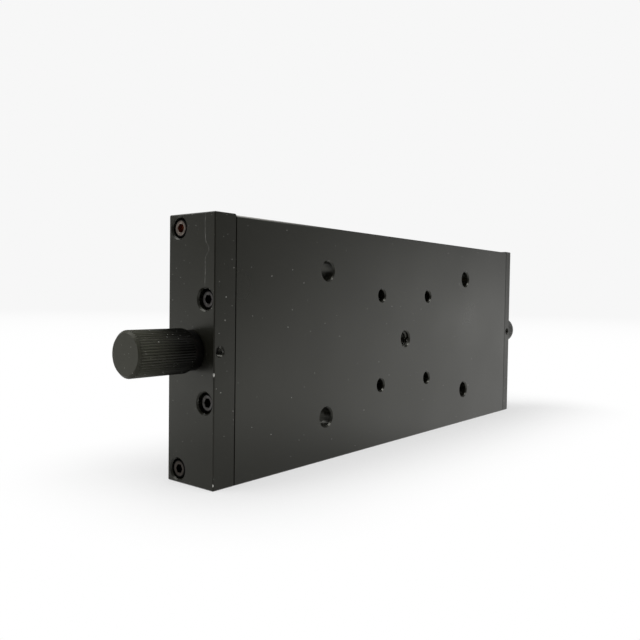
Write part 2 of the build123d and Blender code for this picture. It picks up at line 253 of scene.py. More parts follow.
def painted_edge_highlight(tree, place):
    """Share of pale colour on the base that paints a highlight along its upper front edge, most near the
    knob.
    """
    base_low, base_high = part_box("base_channel")
    highlight_below_top = 0.6 * mm
    full_highlight_below_top = 0.25 * mm
    highlight_behind_front = 0.4 * mm
    full_highlight_behind_front = 0.2 * mm
    highlight_starts = -45 * mm
    highlight_full = -98 * mm
    brightest_highlight = 0.5
    axes = add_node(tree, "ShaderNodeSeparateXYZ", {}, {"Vector": place})
    near_top = add_node(
        tree, "ShaderNodeMapRange", {},
        {
            "Value": axes.outputs["Z"],
            "From Min": base_high.z - highlight_below_top, "From Max": base_high.z - full_highlight_below_top,
        },
    )
    near_front = add_node(
        tree, "ShaderNodeMapRange", {},
        {
            "Value": axes.outputs["Y"],
            "From Min": base_low.y + highlight_behind_front, "From Max": base_low.y + full_highlight_behind_front,
        },
    )
    near_knob = add_node(
        tree, "ShaderNodeMapRange", {"interpolation_type": "SMOOTHSTEP"},
        {
            "Value": axes.outputs["X"],
            "From Min": highlight_starts, "From Max": highlight_full, "To Max": brightest_highlight,
        },
    )
    edge = add_node(
        tree, "ShaderNodeMath", {"operation": "MULTIPLY"},
        {0: near_top.outputs["Result"], 1: near_front.outputs["Result"]},
    )
    # Painted highlight: pale only along the top front edge, strongest towards the knob.
    worn = add_node(
        tree, "ShaderNodeMath", {"operation": "MULTIPLY"},
        {0: edge.outputs["Value"], 1: near_knob.outputs["Result"]},
    )
    return worn.outputs["Value"]


base_black = anodised_aluminium(
    "black_anodised_milled_base", deep="#12120d", cloudy="#161611", roughness=0.31,
    cloud_size=34 * mm, dust_spacing=2.5 * mm, knocks_and_glints=0.0, scratch=painted_edge_highlight, shine=0.58,
)
wear("base_channel", base_black)


# Thread of the centre hole: cut in the base with an M6 tap and anodised black with it. Pale patches
# on its crests are painted highlights, and partly metal that a screw has rubbed bare. The hole's wall in
# the CAD is the thread's outer diameter, and the ridge stands in from it.
def add_copy(bm, mesh, place):
    """Adds a copy of a mesh at a place, and returns the copy's faces."""
    first_vert = len(bm.verts)
    first_face = len(bm.faces)
    bm.from_mesh(mesh)
    bm.verts.ensure_lookup_table()
    bm.faces.ensure_lookup_table()
    bmesh.ops.transform(bm, matrix=place, verts=bm.verts[first_vert:])
    return bm.faces[first_face:]


def right_hand_thread(outline, pitch, turns, facets, ridge):
    """Mesh of a thread up +Z. Its outline, pairs of a radius and a height, is spun through one turn,
    and copies of that turn are stacked a pitch apart and merged. A ridge's outline is a closed one."""
    one_turn = bmesh.new()
    points = [one_turn.verts.new((radius, 0, height)) for radius, height in outline]
    sides = [one_turn.edges.new(pair) for pair in zip(points, points[1:])]
    if ridge:
        sides.append(one_turn.edges.new((points[-1], points[0])))
    bmesh.ops.spin(
        one_turn, geom=points + sides, cent=(0, 0, 0), axis=(0, 0, 1), dvec=(0, 0, pitch / facets),
        angle=2 * math.pi, steps=facets,
    )
    mesh = bpy.data.meshes.new("thread_master")
    one_turn.to_mesh(mesh)
    one_turn.free()
    stacked = bmesh.new()
    for turn in range(turns):
        add_copy(stacked, mesh, Matrix.Translation((0, 0, turn * pitch)))
    bmesh.ops.remove_doubles(stacked, verts=stacked.verts, dist=0.004 * mm)
    if ridge:
        bmesh.ops.holes_fill(stacked, edges=[edge for edge in stacked.edges if edge.is_boundary], sides=4)
    stacked.to_mesh(mesh)
    stacked.free()
    return mesh


def tapped_ridge(wall_radius, pitch, length):
    """Mesh of the ridge of a 60 degree thread on a hole's wall. The hole runs down from the origin."""
    ridge_height = 0.54 * pitch
    root_half = 0.44 * pitch
    crest_half = 0.06 * pitch
    bury = 0.02 * mm
    facets = 32
    turns = math.floor((length - 2 * root_half) / pitch)
    foot = -turns * pitch - 2 * root_half
    outline = [
        (wall_radius + bury, foot),
        (wall_radius - ridge_height, foot + root_half - crest_half),
        (wall_radius - ridge_height, foot + root_half + crest_half),
        (wall_radius + bury, foot + 2 * root_half),
    ]
    return right_hand_thread(outline, pitch, turns, facets, ridge=True)


def piece_from(bm, name, materials, body):
    """Finishes a bmesh as a piece that rides on a body. Edges over 30 degrees stay sharp."""
    bmesh.ops.recalc_face_normals(bm, faces=bm.faces)
    for face in bm.faces:
        face.smooth = True
    mesh = bpy.data.meshes.new(name)
    bm.to_mesh(mesh)
    bm.free()
    mesh.set_sharp_from_angle(angle=math.radians(30))
    for material in materials:
        mesh.materials.append(material)
    piece = bpy.data.objects.new(name, mesh)
    bpy.context.scene.collection.objects.link(piece)
    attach(piece, body)
    return piece


def facing(place, outward):
    """Matrix that puts an origin at a place, with its +Z pointing outward."""
    turn = Vector((0, 0, 1)).rotation_difference(Vector(outward))
    return Matrix.Translation(Vector(place)) @ turn.to_matrix().to_4x4()


mounting_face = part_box("base_channel")[0].y
centre_mouth = 0.45 * mm
# Its many pale patches on the crests are painted highlights as well as rubbed metal.
thread_black = anodised_aluminium(
    "black_anodised_tapped_threads", deep="#12120d", cloudy="#1b1b16", roughness=0.28,
    cloud_size=2 * mm, dust_spacing=1.0 * mm, knocks_and_glints=0.14,
)
thread_mesh = bmesh.new()
centre_ridge = tapped_ridge(wall_radius=3 * mm, pitch=1 * mm, length=4.5 * mm)
add_copy(thread_mesh, centre_ridge, facing((0, mounting_face + centre_mouth, 0), (0, -1, 0)))
piece_from(thread_mesh, "base_centre_thread", [thread_black], "base")


# End plates: milled aluminium blocks screwed to the base's ends, anodised with it. The knob's plate
# is seen best: its cut faces have a slightly warmer black than the base, and it is dustier. A long
# hairline scratch with a kink runs down its outer face, and its near edge has two bright nicks.
def plate_marks(tree, place):
    """Share of bare metal on the knob's end plate: a kinked hairline scratch and two nicks."""
    outer_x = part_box("knob_end_plate")[0].x
    skin = 0.05 * mm
    scratch_height = 4.1 * mm
    scratch_half_width = 0.05 * mm
    scratch_wander = 0.6 * mm
    wander_length = 11 * mm
    scratch_foot = 18.8 * mm
    kink_height = 29.4 * mm
    kink_half = 2.9 * mm
    kink_reach = 1.5 * mm
    pressed_length = 0.9 * mm
    faintest = 0.09
    strongest = 0.32
    nicks = ((-6.5 * mm, 0.3 * mm), (-38.3 * mm, 0.26 * mm))
    nick_stretch = 0.4
    axes = add_node(tree, "ShaderNodeSeparateXYZ", {}, {"Vector": place})
    wander = add_node(
        tree, "ShaderNodeTexNoise", {}, {"Vector": place, "Scale": 1 / wander_length, "Detail": 2.0}
    )
    drift = add_node(
        tree, "ShaderNodeMapRange", {},
        {
            "Value": wander.outputs["Fac"],
            "To Min": -scratch_wander - scratch_height, "To Max": scratch_wander - scratch_height,
        },
    )
    straight = add_node(
        tree, "ShaderNodeMath", {"operation": "ADD"}, {0: axes.outputs["Y"], 1: drift.outputs["Result"]}
    )
    from_kink = add_node(
        tree, "ShaderNodeMath", {"operation": "SUBTRACT"}, {0: axes.outputs["Z"], 1: kink_height}
    )
    to_kink = add_node(tree, "ShaderNodeMath", {"operation": "ABSOLUTE"}, {0: from_kink.outputs["Value"]})
    kink = add_node(
        tree, "ShaderNodeMapRange", {"interpolation_type": "SMOOTHSTEP"},
        {"Value": to_kink.outputs["Value"], "From Min": kink_half, "From Max": 0.0, "To Max": kink_reach},
    )
    offset = add_node(
        tree, "ShaderNodeMath", {"operation": "ADD"},
        {0: straight.outputs["Value"], 1: kink.outputs["Result"]},
    )
    distance = add_node(tree, "ShaderNodeMath", {"operation": "ABSOLUTE"}, {0: offset.outputs["Value"]})
    line = add_node(
        tree, "ShaderNodeMath", {"operation": "LESS_THAN"},
        {0: distance.outputs["Value"], 1: scratch_half_width},
    )
    above = add_node(
        tree, "ShaderNodeMath", {"operation": "GREATER_THAN"}, {0: axes.outputs["Z"], 1: scratch_foot}
    )
    outer_face = add_node(
        tree, "ShaderNodeMath", {"operation": "LESS_THAN"},
        {0: axes.outputs["X"], 1: outer_x + skin},
    )
    placed = add_node(
        tree, "ShaderNodeMath", {"operation": "MULTIPLY"},
        {0: above.outputs["Value"], 1: outer_face.outputs["Value"]},
    )
    pressed = add_node(
        tree, "ShaderNodeTexNoise", {}, {"Vector": place, "Scale": 1 / pressed_length, "Detail": 2.0}
    )
    faint = add_node(
        tree, "ShaderNodeMapRange", {},
        {
            "Value": pressed.outputs["Fac"], "From Min": 0.42, "From Max": 0.62,
            "To Min": faintest, "To Max": strongest,
        },
    )
    scratch_line = add_node(
        tree, "ShaderNodeMath", {"operation": "MULTIPLY"},
        {0: line.outputs["Value"], 1: placed.outputs["Value"]},
    )
    scratch = add_node(
        tree, "ShaderNodeMath", {"operation": "MULTIPLY"},
        {0: scratch_line.outputs["Value"], 1: faint.outputs["Result"]},
    )
    marks = scratch.outputs["Value"]
    for nick_height, nick_radius in nicks:
        from_nick = add_node(
            tree, "ShaderNodeVectorMath", {"operation": "SUBTRACT"},
            {0: place, 1: (outer_x, mounting_face, nick_height)},
        )
        squeezed = add_node(
            tree, "ShaderNodeVectorMath", {"operation": "MULTIPLY"},
            {0: from_nick.outputs["Vector"], 1: (1.0, 1.0, nick_stretch)},
        )
        to_nick = add_node(
            tree, "ShaderNodeVectorMath", {"operation": "LENGTH"}, {0: squeezed.outputs["Vector"]}
        )
        nick = add_node(
            tree, "ShaderNodeMath", {"operation": "LESS_THAN"},
            {0: to_nick.outputs["Value"], 1: nick_radius},
        )
        both = add_node(
            tree, "ShaderNodeMath", {"operation": "MAXIMUM"}, {0: marks, 1: nick.outputs["Value"]}
        )
        marks = both.outputs["Value"]
    return marks


knob_plate_black = anodised_aluminium(
    "black_anodised_milled_knob_plate", deep="#14140f", cloudy="#171712", roughness=0.33,
    cloud_size=19 * mm, dust_spacing=1.7 * mm, knocks_and_glints=0.06, scratch=plate_marks,
)
tail_plate_black = anodised_aluminium(
    "black_anodised_milled_tail_plate", deep="#14140f", cloudy="#171712", roughness=0.33,
    cloud_size=19 * mm, dust_spacing=1.3 * mm, knocks_and_glints=0.0, shine=0.42,
)
wear("knob_end_plate", knob_plate_black)
wear("tail_end_plate", tail_plate_black)

set_screw_mouth = 0.2 * mm
set_screw_thread_mesh = bmesh.new()
set_screw_ridge = tapped_ridge(wall_radius=1.51 * mm, pitch=0.5 * mm, length=4.6 * mm)
for ring in ("knob_end_bearing_outer_ring", "tail_end_bearing_outer_ring"):
    ring_low, ring_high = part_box(ring)
    hole = facing(((ring_low.x + ring_high.x) / 2, mounting_face + set_screw_mouth, 0), (0, -1, 0))
    add_copy(set_screw_thread_mesh, set_screw_ridge, hole)
piece_from(
    set_screw_thread_mesh, "plate_set_screw_threads", [thread_black], "base"
)


# Table: the moving plate, milled and anodised like the base, with tapped holes for what it carries.
# Its two squares of holes take M4 and M6 screws.
table_black = anodised_aluminium(
    "black_anodised_milled_table", deep="#12120d", cloudy="#161611", roughness=0.33,
    cloud_size=27 * mm, dust_spacing=2.3 * mm, knocks_and_glints=0.03,
)
wear("carriage_table", table_black)
table_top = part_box("carriage_table")[1].y
table_mouth = 0.2 * mm
table_thread_mesh = bmesh.new()
for spacing, wall_radius, pitch, depth in (
    (34 * mm, 2.0 * mm, 0.7 * mm, 8.2 * mm),
    (50 * mm, 3.0 * mm, 1.0 * mm, 6.7 * mm),
):
    table_ridge = tapped_ridge(wall_radius, pitch, depth)
    for x in (-spacing / 2, spacing / 2):
        for z in (-spacing / 2, spacing / 2):
            add_copy(table_thread_mesh, table_ridge, facing((x, table_top - table_mouth, z), (0, 1, 0)))
piece_from(table_thread_mesh, "table_hole_threads", [thread_black], "carriage")


# Knobs: turned from aluminium bar, straight-knurled and anodised. The drive knob's knurl has painted
# shade: deep black at its root, where the end plate shades it, and lighter towards its front. The tail
# knob is an even black.
def painted_knob_shade(tree, place):
    """Share of the lighter dye along the drive knob, as painted shade: none at its root, most on its front
    bevel, less on its flat face.
    """
    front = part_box("drive_knob")[0].x
    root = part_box("drive_knob")[1].x
    shade_fades_from = root + 0.16 * (front - root)
    shade_gone_at = root + 0.94 * (front - root)
    face_starts = root + 0.93 * (front - root)
    face_full = root + 0.97 * (front - root)
    face_share = 0.65
    axes = add_node(tree, "ShaderNodeSeparateXYZ", {}, {"Vector": place})
    along = add_node(
        tree, "ShaderNodeMapRange", {"interpolation_type": "SMOOTHSTEP"},
        {"Value": axes.outputs["X"], "From Min": shade_fades_from, "From Max": shade_gone_at},
    )
    face = add_node(
        tree, "ShaderNodeMapRange", {},
        {
            "Value": axes.outputs["X"],
            "From Min": face_starts, "From Max": face_full,
            "To Min": 1.0, "To Max": face_share,
        },
    )
    unshaded_share = add_node(
        tree, "ShaderNodeMath", {"operation": "MULTIPLY"},
        {0: along.outputs["Result"], 1: face.outputs["Result"]},
    )
    return unshaded_share.outputs["Value"]


# Painted shade: the drive knob's dye runs from near black at its root, which the end plate shades, to
# lighter at its front.
drive_knob_black = anodised_aluminium(
    "black_anodised_knob_painted_shade", deep="#040403", cloudy="#3e3e36", roughness=0.3,
    cloud_size=9 * mm, dust_spacing=1.5 * mm, knocks_and_glints=0.05, painted_shade=painted_knob_shade, shine=0.16,
)
tail_knob_black = anodised_aluminium(
    "black_anodised_turned_knob", deep="#13130f", cloudy="#171712", roughness=0.3,
    cloud_size=9 * mm, dust_spacing=1.3 * mm, knocks_and_glints=0.03,
)
wear("drive_knob", drive_knob_black)
wear("tail_knob", tail_knob_black)


# Cap screws: M3 socket cap screws of alloy steel with a black oxide finish, sunk in the end plates and
# the table. Their heads have a rounded rim and a hexagon socket with a small countersink. Each end
# plate's upper corner screw is worn brown, with rust in its socket, and the lower one is dull brown.
def black_oxide_steel(name, colour, stain, roughness):
    """Oiled black oxide on steel: dark, stained in small patches, and shinier than anodised faces."""
    stain_size = 1.2 * mm
    material, tree = new_material(name)
    place = add_node(tree, "ShaderNodeTexCoord", {}, {}).outputs["Object"]
    bloom = add_node(
        tree, "ShaderNodeTexNoise", {},
        {"Vector": place, "Scale": 1 / stain_size, "Detail": 4.0, "Roughness": 0.6},
    )
    bloom_share = add_node(
        tree, "ShaderNodeMapRange", {},
        {"Value": bloom.outputs["Fac"], "From Min": 0.42, "From Max": 0.64},
    )
    stained = add_node(
        tree, "ShaderNodeMix", {"data_type": "RGBA"},
        {"Factor": bloom_share.outputs["Result"], "A": linear(colour), "B": linear(stain)},
    )
    surface = add_node(
        tree, "ShaderNodeBsdfPrincipled", {},
        {"Base Color": stained.outputs["Result"], "Metallic": 1.0, "Roughness": roughness},
    )
    tree.links.new(surface.outputs["BSDF"], tree.nodes["Material Output"].inputs["Surface"])
    return material


def socket_screw(outline, socket_width, socket_depth, painted_shade_radius):
    """Mesh of a turned screw along Z with a hexagon socket in its top. The outline runs from the
    socket's countersink, over the rim and down to the tip, as pairs of a radius and a height. Its
    socket takes the second material, and all that is beyond the painted shade radius takes the third,
    which is painted shade."""
    screw_facets = 48
    countersink = 0.1 * mm
    bm = bmesh.new()
    points = [bm.verts.new((radius, 0, height)) for radius, height in outline]
    sides = [bm.edges.new(pair) for pair in zip(points, points[1:])]
    bmesh.ops.spin(
        bm, geom=points + sides, cent=(0, 0, 0), axis=(0, 0, 1), dvec=(0, 0, 0),
        angle=2 * math.pi, steps=screw_facets, use_merge=True,
    )
    bmesh.ops.remove_doubles(bm, verts=bm.verts, dist=0.001 * mm)
    mouth = [edge for edge in bm.edges if edge.is_boundary]
    seat = Matrix.Translation((0, 0, outline[0][1] - countersink))
    bmesh.ops.create_circle(bm, segments=6, radius=socket_width / math.sqrt(3), matrix=seat)
    hexagon = [edge for edge in bm.edges if edge.is_wire]
    bmesh.ops.bridge_loops(bm, edges=mouth + hexagon)
    walls = bmesh.ops.extrude_edge_only(bm, edges=hexagon)["geom"]
    low_corners = [part for part in walls if isinstance(part, bmesh.types.BMVert)]
    bmesh.ops.translate(bm, verts=low_corners, vec=(0, 0, -socket_depth))
    floor = bmesh.ops.contextual_create(bm, geom=[edge for edge in bm.edges if edge.is_boundary])["faces"]
    bmesh.ops.recalc_face_normals(bm, faces=bm.faces)
    for face in floor + [part for part in walls if isinstance(part, bmesh.types.BMFace)]:
        face.material_index = 1
    # Painted shade: faces beyond the given radius, a cap screw's rounded rim, take the socket's black.
    for face in bm.faces:
        if face.calc_center_median().xy.length > painted_shade_radius:
            face.material_index = 2
    mesh = bpy.data.meshes.new("screw_master")
    bm.to_mesh(mesh)
    bm.free()
    return mesh


def cap_screw(length, head_height):
    """Mesh of an M3 socket cap screw along Z, head up, with the underside of its head at the origin.
    The top of its head is worn in a ring, and its rounded rim takes the socket's black as painted shade
    from the counterbore around it."""
    head_radius = 2.75 * mm
    shank_radius = 1.5 * mm
    socket_mouth = 1.55 * mm
    socket_width = 2.5 * mm
    socket_depth = 1.3 * mm
    tip_bevel = 0.4 * mm
    rim = 0.55 * mm
    outline = [(socket_mouth, head_height)]
    for angle in (90, 60, 30, 0):
        across = head_radius - rim + rim * math.cos(math.radians(angle))
        outline.append((across, head_height - rim + rim * math.sin(math.radians(angle))))
    outline += [
        (head_radius, 0),
        (shank_radius, 0),
        (shank_radius, tip_bevel - length),
        (shank_radius - tip_bevel, -length),
        (0, -length),
    ]
    return socket_screw(outline, socket_width, socket_depth, head_radius - rim)


def screw_group(name, replaced, master, places, materials, body):
    """Copies of a screw at their places. Each place has a matrix and the number of its finish, and a
    finish is three materials: for the screw, for its socket and for all beyond its painted shade radius,
    which is painted shade."""
    materials_per_finish = 3
    group = bmesh.new()
    for place, finish in places:
        for face in add_copy(group, master, place):
            face.material_index += materials_per_finish * finish
    bpy.data.meshes.remove(master)
    piece = piece_from(group, name, materials, body)
    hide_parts(replaced)


head_steel = black_oxide_steel("black_oxide_screw_heads", "#5c5b5a", "#4d4a48", 0.42)
socket_steel = black_oxide_steel("black_oxide_sockets", "#1d1d1d", "#232221", 0.5)
worn_head_steel = black_oxide_steel("worn_brown_screw_heads", "#857c74", "#6a5f57", 0.4)
rusty_socket_steel = black_oxide_steel("rusty_sockets", "#96583c", "#553223", 0.6)
dull_head_steel = black_oxide_steel("dull_brown_screw_heads", "#57524d", "#453f3a", 0.45)
# Each finish's third material paints the heads' rounded rims socket black, as painted shade.
oiled_finish = [head_steel, socket_steel, socket_steel]
worn_finish = [worn_head_steel, rusty_socket_steel, socket_steel]
dull_finish = [dull_head_steel, socket_steel, socket_steel]
# A screw's finish is given by its place in the list of finishes that its piece gets.
oiled = 0
worn = 1
dull = 2

plate_head_height = 2.75 * mm
plate_seat_depth = 3.0 * mm
corner_from_edge = 4.0 * mm
corner_from_back = 4.55 * mm
corner_recess = 0.3 * mm
inner_half_spacing = 15.0 * mm
inner_height = 4.0 * mm
inner_recess = 0.9 * mm
for end, outward, length in (("knob_end", -1, 12 * mm), ("tail_end", 1, 10 * mm)):
    plate_low, plate_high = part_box(f"{end}_plate")
    outer_face = plate_low.x if outward < 0 else plate_high.x
    plate_screw_places = []
    for across, height, recess, finishes in (
        (plate_high.z - corner_from_edge, plate_high.y - corner_from_back, corner_recess, (dull, worn)),
        (inner_half_spacing, inner_height, inner_recess, (oiled, oiled)),
    ):
        seat_x = outer_face - outward * (plate_seat_depth + recess)
        for side, finish in zip((-1, 1), finishes):
            place = facing((seat_x, height, side * across), (outward, 0, 0))
            plate_screw_places.append((place, finish))
    screw_group(
        f"{end}_plate_cap_screws", f"{end}_plate_screws", cap_screw(length, plate_head_height),
        plate_screw_places, oiled_finish + worn_finish + dull_finish, "base",
    )

table_head_height = 3 * mm
table_seat = table_top - 3.4 * mm
nut_screw_x = 7.0 * mm
nut_screw_z = 6.8 * mm
nut_screw_places = [
    (facing((x, table_seat, z), (0, 1, 0)), oiled)
    for x in (-nut_screw_x, nut_screw_x)
    for z in (-nut_screw_z, nut_screw_z)
]
screw_group(
    "drive_nut_cap_screws", "drive_nut_screws", cap_screw(16 * mm, table_head_height),
    nut_screw_places, oiled_finish, "carriage",
)

gib_screws_low, gib_screws_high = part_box("gib_bar_screws")
gib_screw_line = (gib_screws_low.z + gib_screws_high.z) / 2
gib_screw_x = 35 * mm
gib_screw_places = [
    (facing((x, table_seat, gib_screw_line), (0, 1, 0)), oiled)
    for x in (-gib_screw_x, 0, gib_screw_x)
]
screw_group(
    "gib_bar_cap_screws", "gib_bar_screws", cap_screw(12 * mm, table_head_height),
    gib_screw_places, oiled_finish, "carriage",
)


# Set screws: headless socket screws of the same steel. Two press on the bearings through the end
# plates, and the others hold the knobs and the collar on the lead screw.
rim_share = 0.15
mouth_share = 0.62
for name, radius, socket_width, socket_depth, outward, body in (
    ("knob_end_bearing_set_screw", 1.5, 1.5, 1.1, (0, -1, 0), "base"),
    ("tail_end_bearing_set_screw", 1.5, 1.5, 1.1, (0, -1, 0), "base"),
    ("drive_knob_set_screw", 1.5, 1.5, 1.1, (0, 1, 0), "lead_screw"),
    ("tail_knob_set_screw", 1.5, 1.5, 1.1, (0, 1, 0), "lead_screw"),
    ("thrust_collar_set_screw", 1.0, 0.9, 0.7, (0, 1, 0), "lead_screw"),
):
    low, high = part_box(name)
    length = high.y - low.y
    rim_bevel = rim_share * radius * mm
    outline = [
        (mouth_share * radius * mm, 0),
        (radius * mm - rim_bevel, 0),
        (radius * mm, -rim_bevel),
        (radius * mm, 2 * rim_bevel - length),
        (radius * mm - 2 * rim_bevel, -length),
        (0, -length),
    ]
    top = low.y if outward[1] < 0 else high.y
    place = facing(((low.x + high.x) / 2, top, (low.z + high.z) / 2), outward)
    master = socket_screw(outline, socket_width * mm, socket_depth * mm, radius * mm)
    screw_group(f"{name}_turned", name, master, [(place, oiled)], oiled_finish, body)


# Thrust collar: a turned steel collar behind the drive knob, blackened, which takes up end play. It
# turns in the knob's shadow, close to the end plate, and its near-black colour, darker than the screws'
# black oxide, is painted shade.
collar_steel_painted_shade = black_oxide_steel("black_oxide_collar_painted_shade", "#1c1c1b", "#24211f", 0.45)
wear("thrust_collar", collar_steel_painted_shade)


# Lead screw: stainless steel with a rolled right-hand trapezoidal thread of 8 mm diameter and 2 mm
# pitch, and turned journals for the bearings and knobs. The thread is bright and lightly oiled.
def bare_metal(name, colour, roughness, grain_size):
    """Bare cut metal: its roughness varies with the grain that the cutter left."""
    gloss_spread = 0.12
    material, tree = new_material(name)
    place = add_node(tree, "ShaderNodeTexCoord", {}, {}).outputs["Object"]
    grain = add_node(
        tree, "ShaderNodeTexNoise", {},
        {"Vector": place, "Scale": 1 / grain_size, "Detail": 3.0, "Roughness": 0.6},
    )
    gloss = add_node(
        tree, "ShaderNodeMapRange", {},
        {
            "Value": grain.outputs["Fac"],
            "To Min": roughness - gloss_spread, "To Max": roughness + gloss_spread,
        },
    )
    surface = add_node(
        tree, "ShaderNodeBsdfPrincipled", {},
        {"Base Color": linear(colour), "Metallic": 1.0, "Roughness": gloss.outputs["Result"]},
    )
    tree.links.new(surface.outputs["BSDF"], tree.nodes["Material Output"].inputs["Surface"])
    return material


screw_steel = bare_metal("rolled_stainless_steel", "#b4b3b0", 0.3, 0.6 * mm)
screw_low, screw_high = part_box("lead_screw")
screw_axis_height = (screw_low.y + screw_high.y) / 2
thread_pitch = 2.0 * mm
thread_radius = 4.0 * mm
thread_core = 2.75 * mm
thread_root_flat = 0.6 * mm
thread_flank = 0.335 * mm
thread_end = 92.5 * mm
thread_facets = 24
# The thread is made a few turns too long, and cut off square at both ends.
turns_before = 2
turns_after = 1
thread_turns = turns_before + math.ceil(2 * thread_end / thread_pitch) + turns_after
thread_outline = [
    (thread_core, 0),
    (thread_core, thread_root_flat),
    (thread_radius, thread_root_flat + thread_flank),
    (thread_radius, thread_pitch - thread_flank),
    (thread_core, thread_pitch),
]
rolled_thread = right_hand_thread(
    thread_outline, thread_pitch, thread_turns, thread_facets, ridge=False
)
screw_mesh = bmesh.new()
thread_foot = facing((-thread_end - turns_before * thread_pitch, screw_axis_height, 0), (1, 0, 0))
add_copy(screw_mesh, rolled_thread, thread_foot)
for cut, outward in ((-thread_end, -1), (thread_end, 1)):
    bmesh.ops.bisect_plane(
        screw_mesh, geom=screw_mesh.verts[:] + screw_mesh.edges[:] + screw_mesh.faces[:],
        dist=0.0001 * mm, plane_co=(cut, 0, 0), plane_no=(outward, 0, 0), clear_outer=True,
    )
bmesh.ops.holes_fill(screw_mesh, edges=[edge for edge in screw_mesh.edges if edge.is_boundary], sides=0)

journal_radius = 3.0 * mm
neck_radius = 3.6 * mm
journal_bevel = 0.3 * mm
neck_overlap = 0.1 * mm
journal_facets = 48
tail_clearance = 0.3 * mm
knob_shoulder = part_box("knob_end_bearing_inner_ring")[1].x
tail_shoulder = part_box("tail_end_bearing_inner_ring")[0].x - tail_clearance
for outward, tip, shoulder in ((-1, screw_low.x, knob_shoulder), (1, screw_high.x, tail_shoulder)):
    neck_foot = outward * (thread_end - neck_overlap)
    outline = [
        screw_mesh.verts.new((x, screw_axis_height + radius, 0))
        for x, radius in (
            (tip, 0),
            (tip, journal_radius - journal_bevel),
            (tip - outward * journal_bevel, journal_radius),
            (shoulder, journal_radius),
            (shoulder, neck_radius),
            (neck_foot, neck_radius),
            (neck_foot, 0),
        )
    ]
    sides = [screw_mesh.edges.new(pair) for pair in zip(outline, outline[1:])]
    bmesh.ops.spin(
        screw_mesh, geom=outline + sides, cent=(0, screw_axis_height, 0), axis=(1, 0, 0),
        dvec=(0, 0, 0), angle=2 * math.pi, steps=journal_facets, use_merge=True,
    )
bmesh.ops.remove_doubles(screw_mesh, verts=screw_mesh.verts, dist=0.001 * mm)
lead_screw = piece_from(screw_mesh, "threaded_lead_screw", [screw_steel], "lead_screw")
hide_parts("lead_screw")


# Ball bearings: two small shielded bearings, with rings and balls of ground steel. The cages and
# shields are pressed from thin sheet, which is duller.
ground_steel = bare_metal("ground_bearing_steel", "#b9b9b8", 0.22, 0.3 * mm)
pressed_sheet = bare_metal("pressed_steel_sheet", "#9c9b98", 0.4, 0.8 * mm)
for end in ("knob_end", "tail_end"):
    for name in ("outer_ring", "inner_ring", "balls"):
        wear(f"{end}_bearing_{name}", ground_steel)
    for name in ("cage", "shields"):
        wear(f"{end}_bearing_{name}", pressed_sheet)


# Gib bar: a milled brass bar, the loose flank of the table's dovetail. It slides on the anodised
# base, which burnishes it.
wear("gib_bar", bare_metal("milled_brass", "#c4a05c", 0.36, 1.0 * mm))


# Drive nut: a block of cast bronze, milled and tapped for the lead screw, and held in the table's
# tongue by four cap screws. Oil has darkened it.
wear("drive_nut", bare_metal("milled_bronze", "#a9783f", 0.38, 0.7 * mm))


# Camera: it stands low in front of the knob's end, at the place that was worked out from the body's
# edges and holes, and it is rolled by less than a degree.
camera_place = Vector((-232.8, -145.5, 16.2)) * mm
camera_aim = Vector((0.7746, 0.6308, -0.03395))
camera_roll = math.radians(0.80)
camera_data = bpy.data.cameras.new("camera")
camera_data.lens = 38.5
camera_data.sensor_width = 36.0
camera_data.clip_start = 0.01
camera = bpy.data.objects.new("camera", camera_data)
camera.location = camera_place
camera.rotation_mode = "QUATERNION"
camera.rotation_quaternion = camera_aim.to_track_quat("-Z", "Y") @ Quaternion((0, 0, 1), camera_roll)
bpy.context.scene.collection.objects.link(camera)
bpy.context.scene.camera = camera


# Floor: a wide flat sheet of white card that the stage stands on, on its long edge. Near the stage it
# is partly lit paper, which takes the shadow, and further out it glows white. Smooth faces mirror it
# dimmer near the knob end, and on the camera's side, which is in shade.
floor_reach = 3.0
floor_mesh = bmesh.new()
bmesh.ops.create_circle(floor_mesh, cap_ends=True, segments=64, radius=floor_reach)
bmesh.ops.translate(floor_mesh, verts=floor_mesh.verts, vec=(0, 0, cad_box[0][2]))
floor_data = bpy.data.meshes.new("floor")
floor_mesh.to_mesh(floor_data)
floor_mesh.free()
floor = bpy.data.objects.new("floor", floor_data)
bpy.context.scene.collection.objects.link(floor)


def beyond_box(tree, place, middle, half):
    """Distance on the floor from a box given by its middle and its half sizes."""
    across = add_node(tree, "ShaderNodeVectorMath", {"operation": "SUBTRACT"}, {0: place, 1: middle})
    either_side = add_node(
        tree, "ShaderNodeVectorMath", {"operation": "ABSOLUTE"}, {0: across.outputs["Vector"]}
    )
    past_sides = add_node(
        tree, "ShaderNodeVectorMath", {"operation": "SUBTRACT"},
        {0: either_side.outputs["Vector"], 1: half},
    )
    outside = add_node(
        tree, "ShaderNodeVectorMath", {"operation": "MAXIMUM"}, {0: past_sides.outputs["Vector"]}
    )
    distance = add_node(
        tree, "ShaderNodeVectorMath", {"operation": "LENGTH"}, {0: outside.outputs["Vector"]}
    )
    return distance.outputs["Value"]


